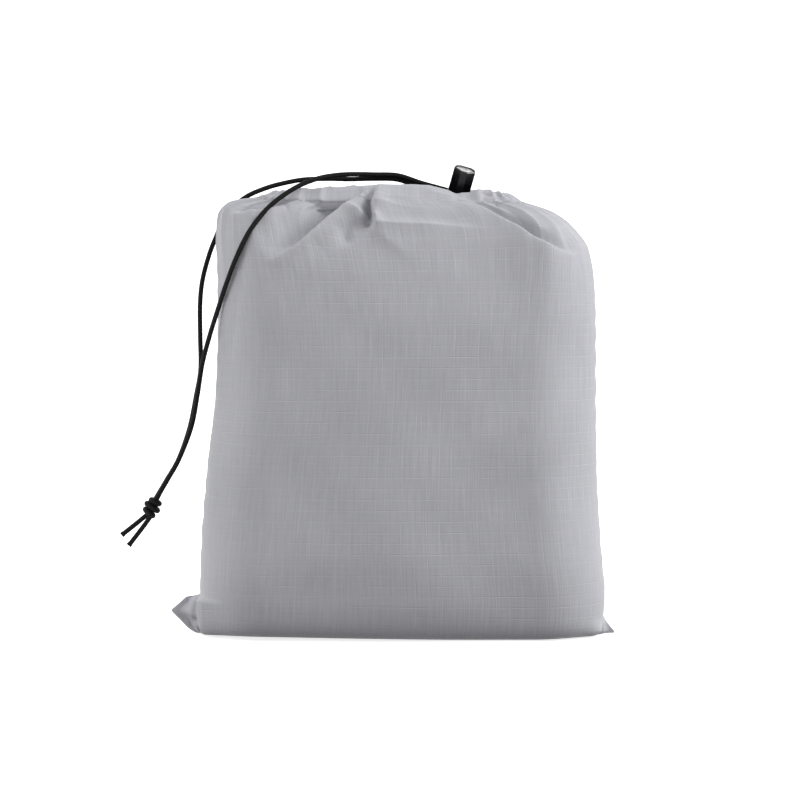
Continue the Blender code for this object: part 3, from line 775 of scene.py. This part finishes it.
def spring(surface):
    """Coil spring between the plunger and the barrel's closed end."""
    low, high = SPRING_SPAN
    points = []
    for share in np.linspace(0, 1, SPRING_TURNS * 16 + 1):
        angle = 2 * math.pi * SPRING_TURNS * share
        height = low + SPRING_WIRE / 2 + (high - low - SPRING_WIRE) * share
        points.append(in_lock(SPRING_RADIUS * math.cos(angle), SPRING_RADIUS * math.sin(angle), height))
    piece = dress(tube("lock_spring", points, SPRING_WIRE, 8), surface)
    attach(piece, "cord_lock")
    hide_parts("cord_lock_spring")
    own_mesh(piece)


def strand_path(up, route):
    height = up * (CORD + CORD_GAP) / 2
    straight = [in_lock(-STRAND_START, 0, height), in_lock(-STRAIGHT_RUN / 2, 0, height)]
    straight.append(in_lock(-STRAIGHT_RUN, 0, height))
    return smooth_route(straight + [Vector(point) for point in route], CORD_RING)


def loop_path():
    """The cord from the lock into the channel, round the mouth and back to the lock."""
    half = (CORD + CORD_GAP) / 2
    share = np.arange(0, EXIT_SHARE, 1 / 24)
    x, y = section(share, MOUTH_LEFT, MOUTH_RIGHT, MOUTH_DEPTH, MOUTH_DEPTH, MOUTH_BOW)
    end_z = np.where(share < 0.5, MOUTH_Z[0], MOUTH_Z[2])
    z = MOUTH_Z[1] + (end_z - MOUTH_Z[1]) * np.cos(math.pi * share) ** 2
    round_front = [Vector(point) for point in zip(x, y, z)]
    round_back = [Vector((point.x, -point.y, point.z)) for point in round_front[1:]]
    into = [in_lock(place * LOOP_END, 0, half) for place in (-1, 1, 2)]
    out = [in_lock(place * LOOP_END, 0, -half) for place in (2, 1, -1)]
    front_way = [Vector(point) for point in LOOP_FRONT]
    back_way = [Vector(point) for point in LOOP_BACK]
    return smooth_route(into + front_way + round_front[::-1] + round_back + back_way + out, CORD_RING)


# ---------------------------------------------------------------- materials


class Nodes:
    """Short forms for building a material's nodes."""

    def __init__(self, name):
        self.made = bpy.data.materials.new(name)
        self.made.use_nodes = True
        self.tree = self.made.node_tree
        self.shader = self.tree.nodes["Principled BSDF"]

    def add(self, kind, **values):
        node = self.tree.nodes.new(kind)
        for key, value in values.items():
            setattr(node, key, value)
        return node

    def join(self, source, target):
        self.tree.links.new(source, target)

    def put(self, target, value):
        if isinstance(value, bpy.types.NodeSocket):
            self.join(value, target)
        else:
            target.default_value = value

    def math(self, operation, first, second=0.0, third=0.0, clamp=False):
        node = self.add("ShaderNodeMath", operation=operation, use_clamp=clamp)
        for socket, value in zip(node.inputs, (first, second, third)):
            self.put(socket, value)
        return node.outputs[0]

    def mix(self, factor, first, second):
        node = self.add("ShaderNodeMix", data_type="RGBA")
        self.put(node.inputs["Factor"], factor)
        self.put(node.inputs[6], first)
        self.put(node.inputs[7], second)
        return node.outputs[2]

    def noise(self, vector, scale, detail=2.0, rough=0.5):
        node = self.add("ShaderNodeTexNoise")
        self.join(vector, node.inputs["Vector"])
        node.inputs["Scale"].default_value = scale
        node.inputs["Detail"].default_value = detail
        node.inputs["Roughness"].default_value = rough
        return node.outputs["Fac"]

    def stretch(self, vector, x, y, z=1.0):
        node = self.add("ShaderNodeVectorMath", operation="MULTIPLY")
        self.join(vector, node.inputs[0])
        node.inputs[1].default_value = (x, y, z)
        return node.outputs[0]

    def bump(self, height, distance, strength=1.0, below=None):
        node = self.add("ShaderNodeBump")
        node.inputs["Distance"].default_value = distance
        node.inputs["Strength"].default_value = strength
        self.join(height, node.inputs["Height"])
        if below is not None:
            self.join(below, node.inputs["Normal"])
        return node.outputs["Normal"]


RIP_ACROSS = 0.0073
RIP_UP = 0.0066
RIP_LINE = 0.00050
CLOTH_DARK = (0.490, 0.492, 0.530, 1)
CLOTH_PALE = (0.530, 0.532, 0.570, 1)
CLOTH_LINE = (0.78, 0.78, 0.81, 1)
CLOTH_GAP = (0.1, 0.1, 0.12, 1)
CORD_BLACK = ((0.0008, 0.0008, 0.0010, 1), (0.0040, 0.0040, 0.0043, 1))
THREAD_GREY = ((0.46, 0.46, 0.49, 1), (0.54, 0.54, 0.57, 1))
PLASTIC_BLACK = ((0.0020, 0.0020, 0.0024, 1), (0.0050, 0.0050, 0.0056, 1))
# pale greys for the lock's sunk end face: a painted reflection of the light, not a colour of the plastic
PAINTED_REFLECTION_GREYS = ((0.30, 0.30, 0.31, 1), (0.80, 0.80, 0.81, 1))
STEEL = ((0.46, 0.46, 0.48, 1), (0.66, 0.66, 0.68, 1))
FLOOR_WHITE = ((0.93, 0.93, 0.93, 1), (0.95, 0.95, 0.95, 1))


def ripstop(name):
    """Grey ripstop: a fine plain weave with a grid of slightly raised, lighter threads that come and go."""
    n = Nodes(name)
    cloth = n.add("ShaderNodeUVMap", uv_map="weave").outputs["UV"]
    split = n.add("ShaderNodeSeparateXYZ")
    n.join(cloth, split.inputs[0])
    across, up = split.outputs["X"], split.outputs["Y"]
    warp = n.noise(n.stretch(cloth, 900, 42), 1.0, 3.0)
    weft = n.noise(n.stretch(cloth, 45, 1150), 1.0, 3.0)

    def lines(place, pitch, dashes, patches):
        off = n.math("PINGPONG", place, pitch / 2)
        line = n.math("SUBTRACT", 1.0, n.math("DIVIDE", off, RIP_LINE), clamp=True)
        shown = n.math("MULTIPLY_ADD", n.noise(n.stretch(cloth, *dashes), 1.0, 2.0), 2.6, -0.75, clamp=True)
        faded = n.math("MULTIPLY_ADD", n.noise(n.stretch(cloth, *patches), 1.0, 1.0), 2.4, -0.55, clamp=True)
        return n.math("MULTIPLY", line, n.math("MULTIPLY_ADD", n.math("MULTIPLY", shown, faded), 0.85, 0.15))

    upright = lines(across, RIP_ACROSS, (700, 70), (14, 9))
    level_lines = lines(up, RIP_UP, (70, 700), (9, 14))
    grid = n.math("MAXIMUM", upright, level_lines)
    clouds = n.noise(cloth, 18.0, 3.0)
    threads = n.math("MULTIPLY_ADD", warp, 0.7, n.math("MULTIPLY", weft, 0.3))
    base = n.mix(clouds, CLOTH_DARK, CLOTH_PALE)
    raised = n.math("MULTIPLY_ADD", threads, 2.4, -0.75, clamp=True)
    base = n.mix(raised, n.mix(0.21, base, CLOTH_GAP), base)
    n.join(n.mix(n.math("MULTIPLY", grid, 0.21), base, CLOTH_LINE), n.shader.inputs["Base Color"])
    n.join(n.math("MULTIPLY_ADD", threads, 0.25, 0.42), n.shader.inputs["Roughness"])
    n.shader.inputs["Sheen Weight"].default_value = 0.25
    n.shader.inputs["Sheen Roughness"].default_value = 0.4
    n.shader.inputs["Specular IOR Level"].default_value = 0.35
    weave = n.bump(threads, 0.00030, 0.6)
    n.join(n.bump(grid, 0.00018, 0.8, weave), n.shader.inputs["Normal"])
    return n.made


def braid(name):
    """Black braided cover of the cord: two sets of yarns winding against each other."""
    n = Nodes(name)
    cover = n.add("ShaderNodeUVMap", uv_map="weave").outputs["UV"]
    split = n.add("ShaderNodeSeparateXYZ")
    n.join(cover, split.inputs[0])
    turns = n.math("MULTIPLY", split.outputs["X"], 8.0)
    along = n.math("MULTIPLY", split.outputs["Y"], 8.0 / BRAID_PITCH)
    one = n.math("PINGPONG", n.math("ADD", turns, along), 0.5)
    two = n.math("PINGPONG", n.math("SUBTRACT", turns, along), 0.5)
    yarns = n.math("MULTIPLY", n.math("MAXIMUM", one, two), 2.0)
    fuzz = n.noise(n.stretch(cover, 40, 9000), 1.0)
    n.join(n.mix(yarns, *CORD_BLACK), n.shader.inputs["Base Color"])
    n.join(n.math("MULTIPLY_ADD", fuzz, 0.3, 0.45), n.shader.inputs["Roughness"])
    n.shader.inputs["Specular IOR Level"].default_value = 0.17
    n.join(n.bump(yarns, 0.0002, 0.8, n.bump(fuzz, 0.00005, 0.5)), n.shader.inputs["Normal"])
    return n.made


def sewing_thread(name):
    """Grey two-ply sewing thread."""
    n = Nodes(name)
    place = n.add("ShaderNodeTexCoord").outputs["Object"]
    plies = n.noise(place, 4200.0, 2.0)
    n.join(n.mix(plies, *THREAD_GREY), n.shader.inputs["Base Color"])
    n.join(n.math("MULTIPLY_ADD", plies, 0.3, 0.4), n.shader.inputs["Roughness"])
    n.shader.inputs["Sheen Weight"].default_value = 0.2
    n.join(n.bump(plies, 0.00008, 0.7), n.shader.inputs["Normal"])
    return n.made


def painted_reflection_face(n, obj):
    """1 on the sunk end of the lock's barrel, where the painted reflection goes, 0 elsewhere."""
    up = lock_frame().to_3x3() @ Vector((0, 0, 1))
    own_up = obj.matrix_world.to_3x3().transposed() @ up
    place = n.add("ShaderNodeTexCoord")
    dots = []
    for output in ("Object", "Normal"):
        dot = n.add("ShaderNodeVectorMath", operation="DOT_PRODUCT")
        n.join(place.outputs[output], dot.inputs[0])
        dot.inputs[1].default_value = own_up
        dots.append(dot.outputs["Value"])
    height = n.math("ADD", dots[0], (obj.matrix_world.translation - LOCK_HOLE).dot(up) - BARREL_FACE)
    near = n.math("LESS_THAN", n.math("ABSOLUTE", height), 0.0002)
    return n.math("MULTIPLY", near, n.math("GREATER_THAN", dots[1], 0.9))


def lock_plastic(name, obj):
    """Moulded black plastic, glossy, with the faint waviness of a mould. Its sunk end face carries a painted
    reflection: pale grey in place of the black.
    """
    n = Nodes(name)
    place = n.add("ShaderNodeTexCoord").outputs["Object"]
    waves = n.noise(place, 260.0, 2.0)
    grain = n.noise(place, 2600.0, 3.0)
    black = n.mix(waves, *PLASTIC_BLACK)
    # painted reflection: pale grey for the sunk end face, patchy with the waves
    pale = n.mix(n.math("MULTIPLY_ADD", waves, 3.0, -1.0, clamp=True), *PAINTED_REFLECTION_GREYS)
    n.join(n.mix(painted_reflection_face(n, obj), black, pale), n.shader.inputs["Base Color"])
    n.join(n.math("MULTIPLY_ADD", grain, 0.12, 0.06), n.shader.inputs["Roughness"])
    n.shader.inputs["Coat Weight"].default_value = 0.3
    n.shader.inputs["Coat Roughness"].default_value = 0.08
    n.join(n.bump(waves, 0.0003, 0.25, n.bump(grain, 0.00003, 0.3)), n.shader.inputs["Normal"])
    return n.made


def spring_steel(name):
    """Drawn steel wire with fine marks along it."""
    n = Nodes(name)
    place = n.add("ShaderNodeTexCoord").outputs["Object"]
    marks = n.noise(n.stretch(place, 900, 900, 5200), 1.0, 3.0)
    n.join(n.mix(marks, *STEEL), n.shader.inputs["Base Color"])
    n.join(n.math("MULTIPLY_ADD", marks, 0.2, 0.2), n.shader.inputs["Roughness"])
    n.shader.inputs["Metallic"].default_value = 1.0
    n.join(n.bump(marks, 0.00003, 0.4), n.shader.inputs["Normal"])
    return n.made


def dress(obj, surface):
    obj.data.materials.clear()
    obj.data.materials.append(surface)
    return obj


# ---------------------------------------------------------------- camera, light and floor


def camera():
    data = bpy.data.cameras.new("camera")
    data.lens = LENS
    obj = link(bpy.data.objects.new("camera", data))
    away = Vector((0.0, -math.cos(CAMERA_RISE), math.sin(CAMERA_RISE))) * CAMERA_AWAY
    obj.location = LOOK_AT + away
    obj.rotation_euler = (math.pi / 2 - CAMERA_RISE, 0.0, 0.0)
    bpy.context.scene.camera = obj


def soft_light(name, place, size, power):
    data = bpy.data.lights.new(name, "AREA")
    data.shape = "RECTANGLE"
    data.size, data.size_y = size
    data.energy = power
    obj = link(bpy.data.objects.new(name, data))
    obj.location = place
    obj.rotation_euler = (LOOK_AT - Vector(place)).to_track_quat("-Z", "Y").to_euler()


def set_ramp(node, given, wanted):
    node.inputs["From Min"].default_value, node.inputs["From Max"].default_value = given
    node.inputs["To Min"].default_value, node.inputs["To Max"].default_value = wanted


def studio():
    """White room: bright above and behind, dim below the floor's height, with a large lamp at either side."""
    scene = bpy.context.scene
    scene.view_settings.view_transform = "Standard"
    world = bpy.data.worlds.new("studio")
    scene.world = world
    world.use_nodes = True
    tree = world.node_tree
    place = tree.nodes.new("ShaderNodeTexCoord")
    split = tree.nodes.new("ShaderNodeSeparateXYZ")
    ramp = tree.nodes.new("ShaderNodeMapRange")
    tree.links.new(place.outputs["Generated"], split.inputs[0])
    tree.links.new(split.outputs["Z"], ramp.inputs["Value"])
    set_ramp(ramp, ROOM_HEIGHT, ROOM_STRENGTH)
    tree.links.new(ramp.outputs["Result"], tree.nodes["Background"].inputs["Strength"])
    tree.nodes["Background"].inputs["Color"].default_value = (1.0, 1.0, 1.0, 1.0)
    soft_light("key", *KEY_LIGHT)
    soft_light("fill", *FILL_LIGHT)


def floor():
    """A white floor that curves up far behind the bag, and glows more the further it is from the bag."""
    run = [(y, 0.0) for y in (-4.0, -1.0, 0.0, 1.2)]
    run += [(1.2 + 1.2 * math.sin(a), 1.2 - 1.2 * math.cos(a)) for a in np.linspace(0, math.pi / 2, 17)[1:]]
    run += [(2.4, 4.0)]
    points = np.array([[(x, y, z) for x in np.linspace(-4, 4, 9)] for y, z in run])
    obj = grid_mesh("floor", points, points[..., :2].copy(), 1)
    n = Nodes("pale floor")
    place = n.add("ShaderNodeTexCoord").outputs["Object"]
    n.join(n.mix(n.noise(place, 3.0), *FLOOR_WHITE), n.shader.inputs["Base Color"])
    n.shader.inputs["Roughness"].default_value = 0.9
    n.shader.inputs["Emission Color"].default_value = (1, 1, 1, 1)
    away = n.add("ShaderNodeVectorMath", operation="LENGTH")
    n.join(place, away.inputs[0])
    glow = n.add("ShaderNodeMapRange")
    n.join(away.outputs["Value"], glow.inputs["Value"])
    set_ramp(glow, GLOW_DISTANCE, GLOW_STRENGTH)
    n.join(glow.outputs["Result"], n.shader.inputs["Emission Strength"])
    dress(obj, n.made)
    obj.visible_diffuse = False


# ---------------------------------------------------------------- the bag put together


def build():
    camera()
    studio()
    floor()
    cloth = ripstop("ripstop")
    cord = braid("braided cord")
    thread = sewing_thread("sewing thread")

    tied = dress(knot("cord_knot"), cord)
    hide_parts("drawcord_knot")
    loop = dress(tube("cord_in_channel", loop_path()), cord)
    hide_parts("drawcord_loop")
    pieces = [tied, loop]
    for letter, up, route, tail in (
        ("a", -1, STRAND_A_ROUTE, TAIL_A_ROUTE),
        ("b", 1, STRAND_B_ROUTE, TAIL_B_ROUTE),
    ):
        points = strand_path(up, route)
        strand = dress(tube(f"cord_strand_{letter}", points), cord)
        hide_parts(f"drawcord_strand_{letter}")
        end = dress(tube(f"cord_tail_{letter}", smooth_route(tail, CORD_RING), flare=TAIL_FLARE), cord)
        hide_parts(f"drawcord_tail_{letter}")
        pieces += [strand, end]
    for piece in pieces:
        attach(piece, "bag")

    for side, facing, folds, pleats, phase in (
        ("front", 1, FRONT_FOLDS, FRONT_GATHERS, 0.4),
        ("back", -1, BACK_FOLDS, BACK_GATHERS, 2.3),
    ):
        piece, points, stitched = panel(f"{side}_cloth", facing, folds, pleats, phase)
        dress(piece, cloth)
        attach(piece, "bag")
        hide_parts(f"{side}_panel", f"{side}_casing")
        line = points[stitched]
        across, along = np.gradient(points, axis=1)[stitched], np.gradient(points, axis=0)[stitched]
        normal = np.cross(across, along) * facing
        normal /= np.linalg.norm(normal, axis=1, keepdims=True)
        stitches = dress(stitch_row(f"hem_stitches_{side}", line, normal, PLEATS[side]), thread)
        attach(stitches, "bag")
        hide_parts(f"casing_stitching_{side}")

    seams = (
        ("left_seam", "side_seam_left", points[60:stitched:3, 0], (1, 0, 0)),
        ("right_seam", "side_seam_right", points[60:stitched:3, -1], (-1, 0, 0)),
        ("lower_seam", "bottom_seam", points[0, 12:-12:2], (0, 0, 1)),
    )
    for name, node, line, inward in seams:
        strip = dress(seam_strip(name, line, np.tile(np.array(inward, float), (len(line), 1))), cloth)
        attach(strip, "bag")
        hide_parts(node)

    for node in ("cord_lock_barrel", "cord_lock_plunger"):
        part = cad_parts[node]
        dress(part, lock_plastic(f"{node} plastic", part))
    spring(spring_steel("spring steel"))


build()
